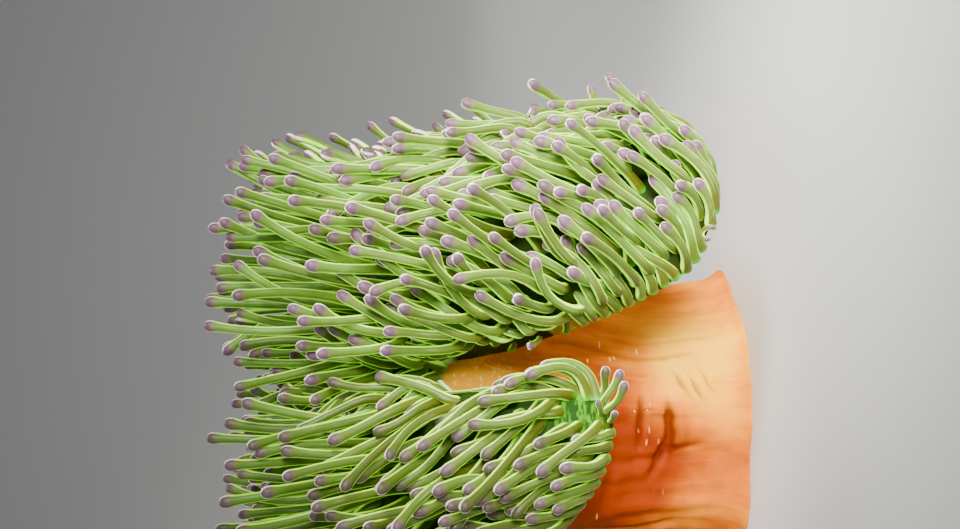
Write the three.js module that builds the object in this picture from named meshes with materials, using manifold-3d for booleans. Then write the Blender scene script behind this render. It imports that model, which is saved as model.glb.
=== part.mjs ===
// A magnificent sea anemone, life size, in millimetres, +Z up.
// The foot stands flat on the ground with its middle at the origin. The column rises from it and
// flares into a wide disc, whose edge is thrown into deep folds that hang like a tablecloth.
// Finger-like tentacles cover the disc, rise from its upper side and are swept upwards.

import * as THREE from "three";
import { mergeVertices } from "three/addons/utils/BufferGeometryUtils.js";
import Module from "manifold-3d";

const wasm = await Module();
wasm.setup();

// ---- Driving dimensions -------------------------------------------------------------------

const GAP = 0.3; // between neighbouring solids

const FOOT = { halfWidth: 86, halfDepth: 68, thickness: 9, spread: 4 };
const FOOT_SCALLOPS = [
  { count: 5, depth: 2.6, phase: 0.6 },
  { count: 9, depth: 1.6, phase: 2.1 },
];
const COLUMN = { topRadius: 88, topHeight: 128, waist: 8, segments: 28 };
const COLUMN_CREASE = { height: 66, depth: 2.4, width: 7 };
const COLUMN_PLEATS = { count: 14, depth: 1.3 };
const MOUTH = { radius: 14, height: 162, lip: 5.5, rise: 9, throat: 4, depth: 7, segments: 16 };
const MOUTH_SLIT = { width: 12, outer: 0.8, inner: 0.5 }; // how oval the lip and the throat are

const DISC = { innerReach: 0.42, innerRise: 248, outerRise: 214, foldRise: 56, edge: 5 };
const UNDER = { flare: 4, foldFlare: 6, rise: 22, foldRise: 56 }; // how it leaves the column
const WALL = { inset: 6, foldInset: 12, thickness: 14, foldThickness: 30 };
const BED = { out: 11, up: 12, fullness: 0.6 }; // crowded lower ends of the tentacles, solid
const HANG = { from: 188, over: 130 }; // an edge this high doesn't hang; this much lower hangs fully

const TENTACLE = { radius: 5, tipRadius: 5.8, length: 76, sink: 5, sides: 5 };
const POSTURE = { rise: 0.26, outward: 0.3, gather: 0.4 }; // straight off the disc, then swept up
const MIDDLE_LEAN = 0.35; // those in the middle lean away from the mouth
const EDGE_ROW = { across: 44, fromEdge: 7, length: 0.86 }; // shorter and closer along the edge
const FACE_ROWS = { across: 54, down: 42, fromMiddle: 104, most: 7 };
const MIDDLE_RINGS = [
  { radius: 46, count: 5 },
  { radius: 74, count: 9 },
];

// The disc's margin, anticlockwise from the front in degrees. Reach and height are those of its
// edge, and shoulder is the share of the reach at which the fold goes over into its fall. The two
// folds in front have shapes of their own.
const FRONT_RIGHT = [
  { at: -67, reach: 107, height: 180, shoulder: 1.05, opens: "lobe_front_right" },
  { at: -65.4, reach: 130, height: 139, shoulder: 1.04 },
  { at: -63.8, reach: 166, height: 96, shoulder: 1.0 },
  { at: -58, reach: 191, height: 55, shoulder: 0.96 },
  { at: -46, reach: 211, height: 46, shoulder: 0.92 },
  { at: -29, reach: 207, height: 68, shoulder: 0.85 },
  { at: -15, reach: 168, height: 128, shoulder: 0.88 },
];
const FRONT_LEFT = [
  { at: 234, reach: 126, height: 172, shoulder: 1.02, opens: "lobe_front_left" },
  { at: 252, reach: 147, height: 126, shoulder: 1.02 },
  { at: 266, reach: 158, height: 100, shoulder: 1.0 },
  { at: 279, reach: 158, height: 96, shoulder: 1.0 },
  { at: 280.6, reach: 133, height: 138, shoulder: 1.02 },
  { at: 282.2, reach: 112, height: 168, shoulder: 1.05 },
];
// The folds behind rise and fall evenly from a valley to a hanging tip.
const BACK_FOLDS = [
  { name: "lobe_back_right", from: 0, to: 50, points: 4, valley: [130, 188], tip: [172, 88] },
  { name: "lobe_back", from: 50, to: 95, points: 4, valley: [128, 176], tip: [184, 68] },
  { name: "lobe_back_left", from: 95, to: 156, points: 4, valley: [122, 164], tip: [190, 66] },
  { name: "lobe_left", from: 156, to: 234, points: 5, valley: [132, 172], tip: [198, 66] },
];
const BACK_SHOULDER = { valley: 1.02, tip: 0.95 };
const BACK_BREADTH = 0.7; // below 1, the tip is broad and round

function backFold({ name, from, to, points, valley, tip }) {
  const { lerp } = THREE.MathUtils;
  return Array.from({ length: points }, (_, i) => {
    const share = i / points;
    const fall = Math.sin(Math.PI * share) ** BACK_BREADTH;
    return {
      at: lerp(from, to, share),
      reach: lerp(valley[0], tip[0], fall),
      height: lerp(valley[1], tip[1], fall),
      shoulder: lerp(BACK_SHOULDER.valley, BACK_SHOULDER.tip, fall),
      opens: i === 0 ? name : undefined,
    };
  });
}

const MARGIN = [...FRONT_RIGHT, ...BACK_FOLDS.flatMap(backFold), ...FRONT_LEFT];

// ---- Materials ----------------------------------------------------------------------------

const orangeSkin = new THREE.MeshStandardMaterial({ color: 0xc8641c, roughness: 0.5 });
const brownSkin = new THREE.MeshStandardMaterial({ color: 0x9a5a20, roughness: 0.5 });
const greenFlesh = new THREE.MeshStandardMaterial({ color: 0x76a03c, roughness: 0.4 });
const discFlesh = new THREE.MeshStandardMaterial({ color: 0x6fbf3a, roughness: 0.4 });
const lipFlesh = new THREE.MeshStandardMaterial({ color: 0xb9b05a, roughness: 0.4 });

// ---- The disc's two faces -----------------------------------------------------------------

const marginCurve = new THREE.CatmullRomCurve3(
  MARGIN.map(({ at, reach, height }) => {
    const angle = THREE.MathUtils.degToRad(at);
    return new THREE.Vector3(reach * Math.cos(angle), reach * Math.sin(angle), height);
  }),
  true,
  "catmullrom",
  0.5,
);

// The margin at a share of the way round: its angle, reach, height, shoulder and how far it hangs.
function marginAt(turn) {
  const place = (((turn % 1) + 1) % 1) * MARGIN.length;
  const index = Math.floor(place) % MARGIN.length;
  const share = place - Math.floor(place);
  const point = marginCurve.getPoint(place / MARGIN.length);
  const next = MARGIN[(index + 1) % MARGIN.length];
  return {
    angle: Math.atan2(point.y, point.x),
    reach: Math.hypot(point.x, point.y),
    height: point.z,
    shoulder: THREE.MathUtils.lerp(MARGIN[index].shoulder, next.shoulder, share),
    hang: THREE.MathUtils.clamp((HANG.from - point.z) / HANG.over, 0, 1),
  };
}

// The upper face's profile at one turn, from the mouth to the edge, as radius and height.
function upperProfile({ reach, height, shoulder, hang }) {
  const { lerp } = THREE.MathUtils;
  const lift = hang * DISC.foldRise;
  return new THREE.CubicBezierCurve(
    new THREE.Vector2(MOUTH.radius, MOUTH.height),
    new THREE.Vector2(lerp(MOUTH.radius, reach, DISC.innerReach), DISC.innerRise),
    new THREE.Vector2(reach * shoulder, DISC.outerRise + lift),
    new THREE.Vector2(reach, height),
  );
}

// The under face's profile, from the column's top to the edge.
function underProfile({ reach, height, shoulder, hang }) {
  const { lerp } = THREE.MathUtils;
  const { topRadius, topHeight } = COLUMN;
  const foldHeight = DISC.outerRise + hang * DISC.foldRise - WALL.foldThickness;
  const outward = UNDER.flare + UNDER.foldFlare * hang;
  const upward = UNDER.rise + UNDER.foldRise * hang;
  const inset = WALL.inset + WALL.foldInset * hang;
  return new THREE.CubicBezierCurve(
    new THREE.Vector2(topRadius + GAP, topHeight + GAP),
    new THREE.Vector2(topRadius + outward, topHeight + upward),
    new THREE.Vector2(reach * shoulder - inset, lerp(height - WALL.thickness, foldHeight, hang)),
    new THREE.Vector2(reach - DISC.edge, height + 1),
  );
}

function standing({ angle }, { x: radius, y: height }) {
  return new THREE.Vector3(radius * Math.cos(angle), radius * Math.sin(angle), height);
}

// A point of the upper face, raised by the bed of tentacle ends, which thins out at both rims.
function bedPoint(profile, share) {
  const { x, y } = profile.getTangent(share);
  const depth = Math.sin(Math.PI * share) ** BED.fullness;
  const out = new THREE.Vector2(-y, x).multiplyScalar(BED.out * depth);
  return profile.getPoint(share).add(out).add(new THREE.Vector2(0, BED.up * depth));
}

// The share of a profile at which it reaches a radius, on its way out, by halving.
function shareAtRadius(profile, radius) {
  let low = 0;
  let high = 0.7;
  for (let step = 0; step < 24; step += 1) {
    const middle = (low + high) / 2;
    if (profile.getPoint(middle).x < radius) low = middle;
    else high = middle;
  }
  return low;
}

// ---- Making closed shapes -----------------------------------------------------------------

// Moves every vertex of a geometry to where place says, given its own position and uv.
function reshape(geometry, place) {
  const { position, uv } = geometry.attributes;
  for (let i = 0; i < position.count; i += 1) {
    const from = new THREE.Vector3().fromBufferAttribute(position, i);
    const { x, y, z } = place(from, uv.getX(i), uv.getY(i));
    position.setXYZ(i, x, y, z);
  }
  return geometry;
}

// A closed turned shape of some rings between two poles, ready to be reshaped by its uv.
function rings(count, segments) {
  const profile = Array.from({ length: count + 2 }, (_, i) => {
    const share = i / (count + 1);
    return new THREE.Vector2(Math.sin(Math.PI * share), -Math.cos(Math.PI * share));
  });
  profile[0].x = 0;
  profile[count + 1].x = 0;
  return new THREE.LatheGeometry(profile, segments);
}

function solidOf(geometry) {
  const bare = geometry.clone();
  bare.deleteAttribute("normal");
  bare.deleteAttribute("uv");
  const merged = mergeVertices(bare, 1e-3);
  return new wasm.Manifold(
    new wasm.Mesh({
      numProp: 3,
      vertProperties: merged.attributes.position.array,
      triVerts: new Uint32Array(merged.index.array),
    }),
  );
}

function geometryOf(solid) {
  const { vertProperties, triVerts, numProp, numVert } = solid.getMesh();
  const positions = new Float32Array(numVert * 3);
  for (let i = 0; i < numVert; i += 1) {
    positions.set(vertProperties.subarray(i * numProp, i * numProp + 3), i * 3);
  }
  const geometry = new THREE.BufferGeometry();
  geometry.setAttribute("position", new THREE.BufferAttribute(positions, 3));
  geometry.setIndex(new THREE.BufferAttribute(new Uint32Array(triVerts), 1));
  return geometry;
}

// ---- Foot and column ----------------------------------------------------------------------

function footRadius(angle) {
  const { halfWidth, halfDepth } = FOOT;
  const oval = 1 / Math.hypot(Math.cos(angle) / halfWidth, Math.sin(angle) / halfDepth);
  return FOOT_SCALLOPS.reduce(
    (radius, { count, depth, phase }) => radius + depth * Math.sin(count * angle + phase),
    oval,
  );
}

function columnRadius(angle, height) {
  const share = height / COLUMN.topHeight;
  const middle = Math.sin(Math.PI * share);
  const flare = THREE.MathUtils.smoothstep(share, 0, 1);
  const radius = THREE.MathUtils.lerp(footRadius(angle), COLUMN.topRadius, flare);
  const pleat = COLUMN_PLEATS.depth * Math.sin(COLUMN_PLEATS.count * angle) * middle;
  const fromCrease = (height - COLUMN_CREASE.height) / COLUMN_CREASE.width;
  const crease = COLUMN_CREASE.depth * Math.exp(-(fromCrease ** 2));
  return radius - COLUMN.waist * middle + pleat - crease;
}

// A slice of the column between two heights, flat above and below.
function columnSlice(bottom, top, levels) {
  return reshape(rings(levels, COLUMN.segments), (from, turn, along) => {
    const level = Math.round(along * (levels + 1));
    const angle = 2 * Math.PI * turn;
    const share = THREE.MathUtils.clamp((level - 1) / (levels - 1), 0, 1);
    const height = THREE.MathUtils.lerp(bottom, top, share);
    const onAxis = level === 0 || level === levels + 1;
    const radius = onAxis ? 0 : columnRadius(angle, height);
    return new THREE.Vector3(radius * Math.cos(angle), radius * Math.sin(angle), height);
  });
}

// The foot spreads a little at the ground.
function makeFoot() {
  const levels = 3;
  return reshape(columnSlice(0, FOOT.thickness, levels), (from) => {
    const radius = Math.hypot(from.x, from.y);
    if (radius < 1) return from;
    const grown = 1 + (FOOT.spread * (1 - from.z / FOOT.thickness)) / radius;
    return new THREE.Vector3(from.x * grown, from.y * grown, from.z);
  });
}

// ---- Middle of the disc, and mouth --------------------------------------------------------

// The plug over the column's top, inside the folds, dished towards a flat seat for the mouth.
function makeDiscMiddle() {
  const segments = MARGIN.length;
  const wallRings = 2;
  const faceRings = 3;
  const last = wallRings + faceRings + 1;
  return reshape(rings(wallRings + faceRings, segments), (from, turn, along) => {
    const level = Math.round(along * last);
    const margin = marginAt(turn);
    const profile = upperProfile(margin);
    const outer = shareAtRadius(profile, COLUMN.topRadius);
    const seatRadius = MOUTH.radius + MOUTH.lip;
    const seat = shareAtRadius(profile, seatRadius);
    if (level === 0) return new THREE.Vector3(0, 0, COLUMN.topHeight + GAP);
    if (level === 1) {
      return standing(margin, { x: COLUMN.topRadius, y: COLUMN.topHeight + GAP });
    }
    if (level === last) return new THREE.Vector3(0, 0, MOUTH.height);
    if (level === last - 1) return standing(margin, { x: seatRadius, y: MOUTH.height });
    const share = THREE.MathUtils.lerp(outer, seat, (level - 2) / faceRings);
    const { x, y } = bedPoint(profile, share);
    return standing(margin, { x: level === 2 ? COLUMN.topRadius : x, y });
  });
}

// A raised ring of lip round a shallow throat, drawn together into a slit.
function makeMouth() {
  const base = MOUTH.height + GAP;
  const { radius, lip, rise, throat, depth, segments } = MOUTH;
  const profile = [
    [0, base],
    [radius + lip - 1, base],
    [radius + lip, base + rise / 2],
    [radius, base + rise],
    [radius - lip, base + rise - 1],
    [throat, base + rise - depth],
    [0, base + rise - depth],
  ].map(([x, y]) => new THREE.Vector2(x, y));
  return reshape(new THREE.LatheGeometry(profile, segments), ({ x, y, z }) => {
    const oval = Math.hypot(x, z) < MOUTH_SLIT.width ? MOUTH_SLIT.inner : MOUTH_SLIT.outer;
    return new THREE.Vector3(x, -z * oval, y);
  });
}

// ---- Lobes with their tentacles -----------------------------------------------------------

// One fold of the disc between two turns, from its wall by the column to its hanging edge.
function makeFold(fromTurn, toTurn) {
  const across = Math.round((toTurn - fromTurn) * MARGIN.length * 2);
  const down = 6;
  const split = GAP / COLUMN.topRadius; // half the gap between two lobes, as an angle
  return reshape(new THREE.BoxGeometry(1, 1, 1, down, across, 1), ({ x, y, z }) => {
    const margin = marginAt(THREE.MathUtils.lerp(fromTurn, toTurn, y + 0.5));
    margin.angle -= Math.sign(y) * (Math.abs(y) > 0.499 ? split : 0);
    if (z < 0) return standing(margin, underProfile(margin).getPoint(x + 0.5));
    const profile = upperProfile(margin);
    const inner = shareAtRadius(profile, COLUMN.topRadius + GAP);
    const point = bedPoint(profile, THREE.MathUtils.lerp(inner, 1, x + 0.5));
    if (x < -0.499) point.x = COLUMN.topRadius + GAP;
    return standing(margin, point);
  });
}

// A tapered finger with a swollen blunt tip, which leaves the disc squarely and bends to its lean.
function makeTentacle(root, normal, lean, length) {
  const start = root.clone().addScaledVector(normal, -TENTACLE.sink);
  const bend = root.clone().addScaledVector(normal, length * POSTURE.rise);
  const end = bend.clone().addScaledVector(lean, length * (1 - POSTURE.rise));
  const spine = new THREE.QuadraticBezierCurve3(start, bend, end);
  const side = new THREE.Vector3().crossVectors(normal, lean).normalize();
  const { radius, tipRadius, sides } = TENTACLE;
  const sections = [
    { share: 0, width: 0 },
    { share: 0, width: radius * 1.1 },
    { share: 0.5, width: radius },
    { share: 0.92, width: tipRadius },
    { share: 1, width: 0 },
  ];
  return reshape(rings(sections.length - 2, sides), (from, turn, along) => {
    const { share, width } = sections[Math.round(along * (sections.length - 1))];
    const tangent = spine.getTangent(share);
    const across = new THREE.Vector3().crossVectors(tangent, side);
    return spine
      .getPoint(share)
      .addScaledVector(side, width * Math.cos(2 * Math.PI * turn))
      .addScaledVector(across, width * Math.sin(2 * Math.PI * turn));
  });
}

// Where a tentacle stands on the upper face: its place, the way out, and the way it leans.
function rootAt(turn, share, towardsMiddle) {
  const margin = marginAt(turn);
  const profile = upperProfile(margin);
  const place = standing(margin, profile.getPoint(share));
  const step = 0.002;
  const beside = marginAt(turn + step);
  const round = standing(beside, upperProfile(beside).getPoint(share)).sub(place);
  const out = standing(margin, profile.getPoint(Math.min(share + step, 1)));
  out.sub(standing(margin, profile.getPoint(share - step)));
  const normal = new THREE.Vector3().crossVectors(out, round).normalize();
  const sideways = new THREE.Vector3(-Math.sin(margin.angle), Math.cos(margin.angle), 0);
  const lean = new THREE.Vector3(0, 0, 1)
    .addScaledVector(normal, POSTURE.outward)
    .addScaledVector(sideways, POSTURE.gather * towardsMiddle)
    .normalize();
  return { place, normal, lean };
}

// One row of roots along a fold at a distance up from its edge, stepped at equal lengths.
function rowOf(fromTurn, toTurn, distance, across, offset) {
  const row = [];
  const samples = 160;
  let walked = across * offset;
  let last = null;
  for (let i = 0; i <= samples; i += 1) {
    const share = (i + 0.5) / (samples + 1);
    const turn = THREE.MathUtils.lerp(fromTurn, toTurn, share);
    const profile = upperProfile(marginAt(turn));
    const along = 1 - distance / profile.getLength();
    if (along <= 0 || profile.getPointAt(along).x < FACE_ROWS.fromMiddle) {
      last = null;
      continue;
    }
    const root = rootAt(turn, profile.getUtoTmapping(along), 1 - 2 * share);
    if (last) walked += root.place.distanceTo(last);
    last = root.place;
    if (walked >= across) {
      walked -= across;
      row.push(root);
    }
  }
  return row;
}

// The roots of a fold: a close row along its edge, and staggered rows up its face.
function rootsOf(fromTurn, toTurn) {
  const edge = rowOf(fromTurn, toTurn, EDGE_ROW.fromEdge, EDGE_ROW.across, 0.5);
  const roots = edge.map((root) => ({ ...root, scale: EDGE_ROW.length }));
  for (let row = 1; row <= FACE_ROWS.most; row += 1) {
    const distance = EDGE_ROW.fromEdge + row * FACE_ROWS.down;
    const offset = row % 2 ? 0.75 : 0.25;
    roots.push(...rowOf(fromTurn, toTurn, distance, FACE_ROWS.across, offset));
  }
  return roots;
}

// The roots in the middle of the disc stand in rings round the mouth.
function middleRoots() {
  return MIDDLE_RINGS.flatMap(({ radius, count }, ring) =>
    Array.from({ length: count }, (_, i) => {
      const turn = (i + ring / 2) / count;
      const root = rootAt(turn, shareAtRadius(upperProfile(marginAt(turn)), radius), 0);
      const away = root.place.clone().setZ(0).normalize();
      root.lean.set(0, 0, 1).addScaledVector(away, MIDDLE_LEAN).normalize();
      return root;
    }),
  );
}

// Grows tentacles on a piece of the disc, leaving out those that would reach into a neighbour.
function grow(piece, roots, neighbours) {
  const near = neighbours.map((other) => ({ other, box: other.boundingBox() }));
  const tentacles = [];
  roots.forEach(({ place, normal, lean, scale = 1 }, index) => {
    const variety = 0.94 + 0.12 * ((index * 0.618) % 1); // some are a little longer than others
    const tentacle = solidOf(makeTentacle(place, normal, lean, TENTACLE.length * scale * variety));
    const { min, max } = tentacle.boundingBox();
    const touches = near.some(
      ({ other, box }) =>
        min.every((low, axis) => low <= box.max[axis] + GAP) &&
        max.every((high, axis) => high >= box.min[axis] - GAP) &&
        tentacle.minGap(other, 2 * GAP) < GAP,
    );
    if (!touches) tentacles.push(tentacle);
  });
  return wasm.Manifold.union([piece, ...tentacles]);
}

// ---- Assembly -----------------------------------------------------------------------------

const anemone = new THREE.Group();

function add(name, geometry, material) {
  const mesh = new THREE.Mesh(geometry, material);
  mesh.name = name;
  anemone.add(mesh);
}

const creaseAt = COLUMN_CREASE.height;
add("foot", makeFoot(), orangeSkin);
add("column_lower", columnSlice(FOOT.thickness + GAP, creaseAt, 4), orangeSkin);
add("column_upper", columnSlice(creaseAt + GAP, COLUMN.topHeight, 4), brownSkin);

const mouth = makeMouth();
add("mouth", mouth, lipFlesh);

const openings = MARGIN.flatMap(({ opens }, index) => (opens ? [{ opens, index }] : []));
const pieces = openings.map(({ opens, index }, i) => {
  const fromTurn = index / MARGIN.length;
  const toTurn = (openings[i + 1]?.index ?? MARGIN.length) / MARGIN.length;
  const solid = solidOf(makeFold(fromTurn, toTurn));
  return { name: opens, material: greenFlesh, solid, roots: rootsOf(fromTurn, toTurn) };
});
pieces.push({
  name: "disc_middle",
  material: discFlesh,
  solid: solidOf(makeDiscMiddle()),
  roots: middleRoots(),
});

// Each piece grows round what already stands beside it.
pieces.forEach((piece) => {
  const others = pieces.filter((other) => other !== piece).map(({ solid }) => solid);
  piece.solid = grow(piece.solid, piece.roots, [...others, solidOf(mouth)]);
  add(piece.name, geometryOf(piece.solid), piece.material);
});

export default anemone;
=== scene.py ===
import math

import bpy
import numpy as np
from mathutils import Matrix, Vector, noise
from mathutils.bvhtree import BVHTree
from mathutils.kdtree import KDTree


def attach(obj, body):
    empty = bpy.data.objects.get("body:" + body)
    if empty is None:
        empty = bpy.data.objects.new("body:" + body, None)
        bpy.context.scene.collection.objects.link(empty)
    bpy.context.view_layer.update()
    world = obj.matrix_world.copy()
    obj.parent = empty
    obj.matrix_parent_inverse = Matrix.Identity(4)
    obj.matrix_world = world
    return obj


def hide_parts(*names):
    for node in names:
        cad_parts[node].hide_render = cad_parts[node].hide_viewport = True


# A magnificent sea anemone, life size, standing on its foot. Sizes are in millimetres and angles in
# degrees, anticlockwise from +X seen from above; mm turns them into Blender's metres.

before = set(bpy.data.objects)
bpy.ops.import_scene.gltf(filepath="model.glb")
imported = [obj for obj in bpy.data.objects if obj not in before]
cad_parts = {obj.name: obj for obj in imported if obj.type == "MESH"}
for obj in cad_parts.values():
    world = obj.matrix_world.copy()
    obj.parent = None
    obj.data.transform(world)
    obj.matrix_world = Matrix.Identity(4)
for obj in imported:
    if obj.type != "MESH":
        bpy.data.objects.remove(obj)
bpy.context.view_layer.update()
mm = 0.001
up = np.array([0.0, 0.0, 1.0])


def lerp(a, b, share):
    return a + (b - a) * share


def unit(vectors):
    return vectors / np.maximum(np.linalg.norm(vectors, axis=-1, keepdims=True), 1e-9)


def apart(a, b):
    return np.linalg.norm(a - b, axis=-1)


def smoothstep(low, high, value):
    share = np.clip((value - low) / (high - low), 0, 1)
    return share * share * (3 - 2 * share)


def wobble(points, size, seed):  # soft noise from -1 to 1 at each point, with lumps about size wide
    offset = Vector((seed * 17.3, seed * 5.1, -seed * 9.7))
    flat = (points / size).reshape(-1, 3)
    return np.array([noise.noise(Vector(p) + offset) for p in flat]).reshape(points.shape[:-1])


# The camera, the floor and the light.
view = dict(target=(96, 0, 147), distance=950, elevation=6, lens=59.4, sensor=36)


def makeCamera():
    # the animal grows sideways from its wall in nature, so the camera lies on its side
    tilt = math.radians(view["elevation"])
    back = Vector((0, -math.cos(tilt), math.sin(tilt)))
    level = Vector((1, 0, 0))
    aloft = back.cross(level)
    data = bpy.data.cameras.new("camera")
    data.lens = view["lens"]
    data.sensor_width = view["sensor"]
    camera = bpy.data.objects.new("camera", data)
    turned = Matrix((-aloft, level, back)).transposed()
    spot = (Vector(view["target"]) + back * view["distance"]) * mm
    camera.matrix_world = Matrix.Translation(spot) @ turned.to_4x4()
    bpy.context.scene.collection.objects.link(camera)
    bpy.context.scene.camera = camera


studio = dict(
    width=9000, front=-3200, back=1600, wall=3600, curve=1700, curveSteps=12,
    floorColor=(0.6, 0.59, 0.57), worldColor=(0.86, 0.9, 0.95), worldStrength=0.18,
    lights=[  # name, place, what it aims at, side of the square, watts, how wide it shines, colour
        ("key", (430, -900, 200), (140, -140, 95), 300, 1.95, 32, (1, 0.98, 0.94)),
        ("side", (620, -560, 330), (150, -130, 100), 300, 1.45, 32, (1, 1, 0.98)),
        ("fill", (-1300, -1200, 700), (0, 0, 150), 1300, 14, 180, (0.92, 0.96, 1)),
        ("top", (200, 600, 1800), (150, 500, 0), 1000, 28, 180, (1, 1, 1)),
    ],
)


def inMode(name):
    bpy.ops.object.mode_set(mode=name)


def extrudeBy(x, y, z):
    bpy.ops.mesh.extrude_edges_move(TRANSFORM_OT_translate={"value": (x, y, z)})


def selectEdges(piece, passes):  # goes into edit mode with the edges whose two ends pass
    inMode("EDIT")
    bpy.ops.mesh.select_mode(type="EDGE")
    bpy.ops.mesh.select_all(action="DESELECT")
    inMode("OBJECT")
    vertices = piece.data.vertices
    for edge in piece.data.edges:
        edge.select = all(passes(vertices[v].co) for v in edge.vertices)
    inMode("EDIT")


def makeFloor(finish):
    bpy.ops.mesh.primitive_plane_add(size=1)
    floor = bpy.context.object
    floor.name = "floor"
    floor.scale = (studio["width"] * mm, (studio["back"] - studio["front"]) * mm, 1)
    floor.location.y = (studio["back"] + studio["front"]) / 2 * mm
    bpy.ops.object.transform_apply(location=True, scale=True)
    # the far edge goes up into a wall with a wide curve at its foot
    selectEdges(floor, lambda spot: spot.y > 0)
    turn = math.radians(90 / studio["curveSteps"])
    reach = studio["curve"] * turn * mm
    for step in range(studio["curveSteps"]):
        climb = (step + 0.5) * turn
        extrudeBy(0, reach * math.cos(climb), reach * math.sin(climb))
    extrudeBy(0, 0, studio["wall"] * mm)
    inMode("OBJECT")
    bpy.ops.object.shade_smooth()
    floor.data.materials.append(finish)


def makeLights():
    for name, at, aim, side, watts, wide, color in studio["lights"]:
        data = bpy.data.lights.new(name, "AREA")
        data.size = side * mm
        data.energy = watts
        data.spread = math.radians(wide)
        data.color = color
        lamp = bpy.data.objects.new(name, data)
        spot = Vector(at) * mm
        turned = (Vector(aim) * mm - spot).to_track_quat("-Z", "Y").to_matrix().to_4x4()
        lamp.matrix_world = Matrix.Translation(spot) @ turned
        bpy.context.scene.collection.objects.link(lamp)
    world = bpy.data.worlds.new("studio")
    world.use_nodes = True
    background = world.node_tree.nodes["Background"]
    background.inputs["Color"].default_value = (*studio["worldColor"], 1)
    background.inputs["Strength"].default_value = studio["worldStrength"]
    bpy.context.scene.world = world


# The animal's shape, from the foot to the mouth.
foot = dict(halfWidth=86, halfDepth=68, thickness=9, spread=4, scallops=[(5, 2.6, 0.6), (9, 1.6, 2.1)])
column = dict(topRadius=88, topHeight=128, waist=8)
disc = dict(innerReach=0.42, innerRise=248, outerRise=214, foldRise=56, edge=5)
under = dict(flare=4, foldFlare=6, rise=22, foldRise=56)
wall = dict(inset=6, foldInset=12, thickness=14, foldThickness=30)
hang = dict(start=188, over=130)
mouth = dict(radius=14, height=162, lipRings=[
    # radius, height, how oval: down into the moat, over the lip and into the throat
    (21, 168, 0.9), (19.2, 165.2, 0.86), (17.8, 166.4, 0.82), (16.4, 169.4, 0.78), (14.2, 170.8, 0.72),
    (11.8, 170, 0.6), (10, 167, 0.45), (8.8, 162, 0.32), (8, 155, 0.26), (7, 147, 0.24),
])

# The disc's edge, anticlockwise from the front: angle, reach, height and shoulder.
frontRight = [
    (-67, 107, 180, 1.05), (-65.4, 130, 139, 1.04), (-63.8, 166, 96, 1.0), (-58, 191, 55, 0.96),
    (-46, 211, 46, 0.92), (-29, 207, 68, 0.85), (-15, 168, 128, 0.88),
]
frontLeft = [
    (234, 126, 172, 1.02), (252, 147, 131, 1.02), (266, 158, 105, 1.0), (280.6, 158, 101, 1.0),
    (282, 133, 138, 1.02), (283, 112, 168, 1.05),
]
backFolds = [
    dict(name="back_right", span=(0, 50), points=4, valley=(130, 188), tip=(172, 88)),
    dict(name="back", span=(50, 95), points=4, valley=(128, 176), tip=(184, 68)),
    dict(name="back_left", span=(95, 156), points=4, valley=(122, 164), tip=(190, 66)),
    dict(name="left", span=(156, 234), points=5, valley=(132, 172), tip=(198, 66)),
]
# how strongly a fold's tentacles are combed in from its first side and from its last
gathers = dict(
    front_right=(0.8, 0.7), back_right=(0.4, 0.5), back=(0.6, 0.35), back_left=(0.3, 0.6),
    left=(0.7, 0.4), front_left=(0.15, 0.5),
)
backShoulder = dict(valley=1.02, tip=0.95)
backBreadth = 0.7


def backEdge(fold):
    rows = []
    for i in range(fold["points"]):
        share = i / fold["points"]
        fall = math.sin(math.pi * share) ** backBreadth
        reach, height = (lerp(v, t, fall) for v, t in zip(fold["valley"], fold["tip"]))
        rows.append((lerp(*fold["span"], share), reach, height, lerp(*backShoulder.values(), fall)))
    return rows


folds = [("front_right", frontRight)]
folds += [(fold["name"], backEdge(fold)) for fold in backFolds]
folds += [("front_left", frontLeft)]
edgeRows = np.array([row for _, rows in folds for row in rows])
edgeCount = len(edgeRows)
foldStarts = np.cumsum([0] + [len(rows) for _, rows in folds])  # in edge rows
foldNames = [name for name, _ in folds]
edgeAngles = np.radians(edgeRows[:, 0])
edgePoints = np.stack(
    [edgeRows[:, 1] * np.cos(edgeAngles), edgeRows[:, 1] * np.sin(edgeAngles), edgeRows[:, 2]], -1
)


def edgeAt(turn):  # the disc's edge at shares of the way round
    place = np.mod(turn, 1) * edgeCount
    index = np.floor(place).astype(int) % edgeCount
    share = (place - np.floor(place))[..., None]
    before, here, after, beyond = (edgePoints[(index + k) % edgeCount] for k in (-1, 0, 1, 2))
    point = 0.5 * (
        2 * here
        + (after - before) * share
        + (2 * before - 5 * here + 4 * after - beyond) * share ** 2
        + (3 * here - before - 3 * after + beyond) * share ** 3
    )
    shoulders = edgeRows[:, 3]
    return dict(
        angle=np.arctan2(point[..., 1], point[..., 0]),
        reach=np.hypot(point[..., 0], point[..., 1]),
        height=point[..., 2],
        shoulder=lerp(shoulders[index], shoulders[(index + 1) % edgeCount], share[..., 0]),
        hang=np.clip((hang["start"] - point[..., 2]) / hang["over"], 0, 1),
    )


def bezier(a, b, c, d, share):
    rest = 1 - share
    return rest ** 3 * a + 3 * rest ** 2 * share * b + 3 * rest * share ** 2 * c + share ** 3 * d


def standing(edge, radius, height):
    return np.stack(np.broadcast_arrays(
        radius * np.cos(edge["angle"]), radius * np.sin(edge["angle"]), height), -1)


def upperPoint(edge, share):  # the face that carries the tentacles, from the mouth to the edge
    reach, lift = edge["reach"], edge["hang"] * disc["foldRise"]
    inner = lerp(mouth["radius"], reach, disc["innerReach"])
    radius = bezier(mouth["radius"], inner, reach * edge["shoulder"], reach, share)
    height = bezier(mouth["height"], disc["innerRise"], disc["outerRise"] + lift, edge["height"], share)
    return standing(edge, radius, height)


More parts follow.
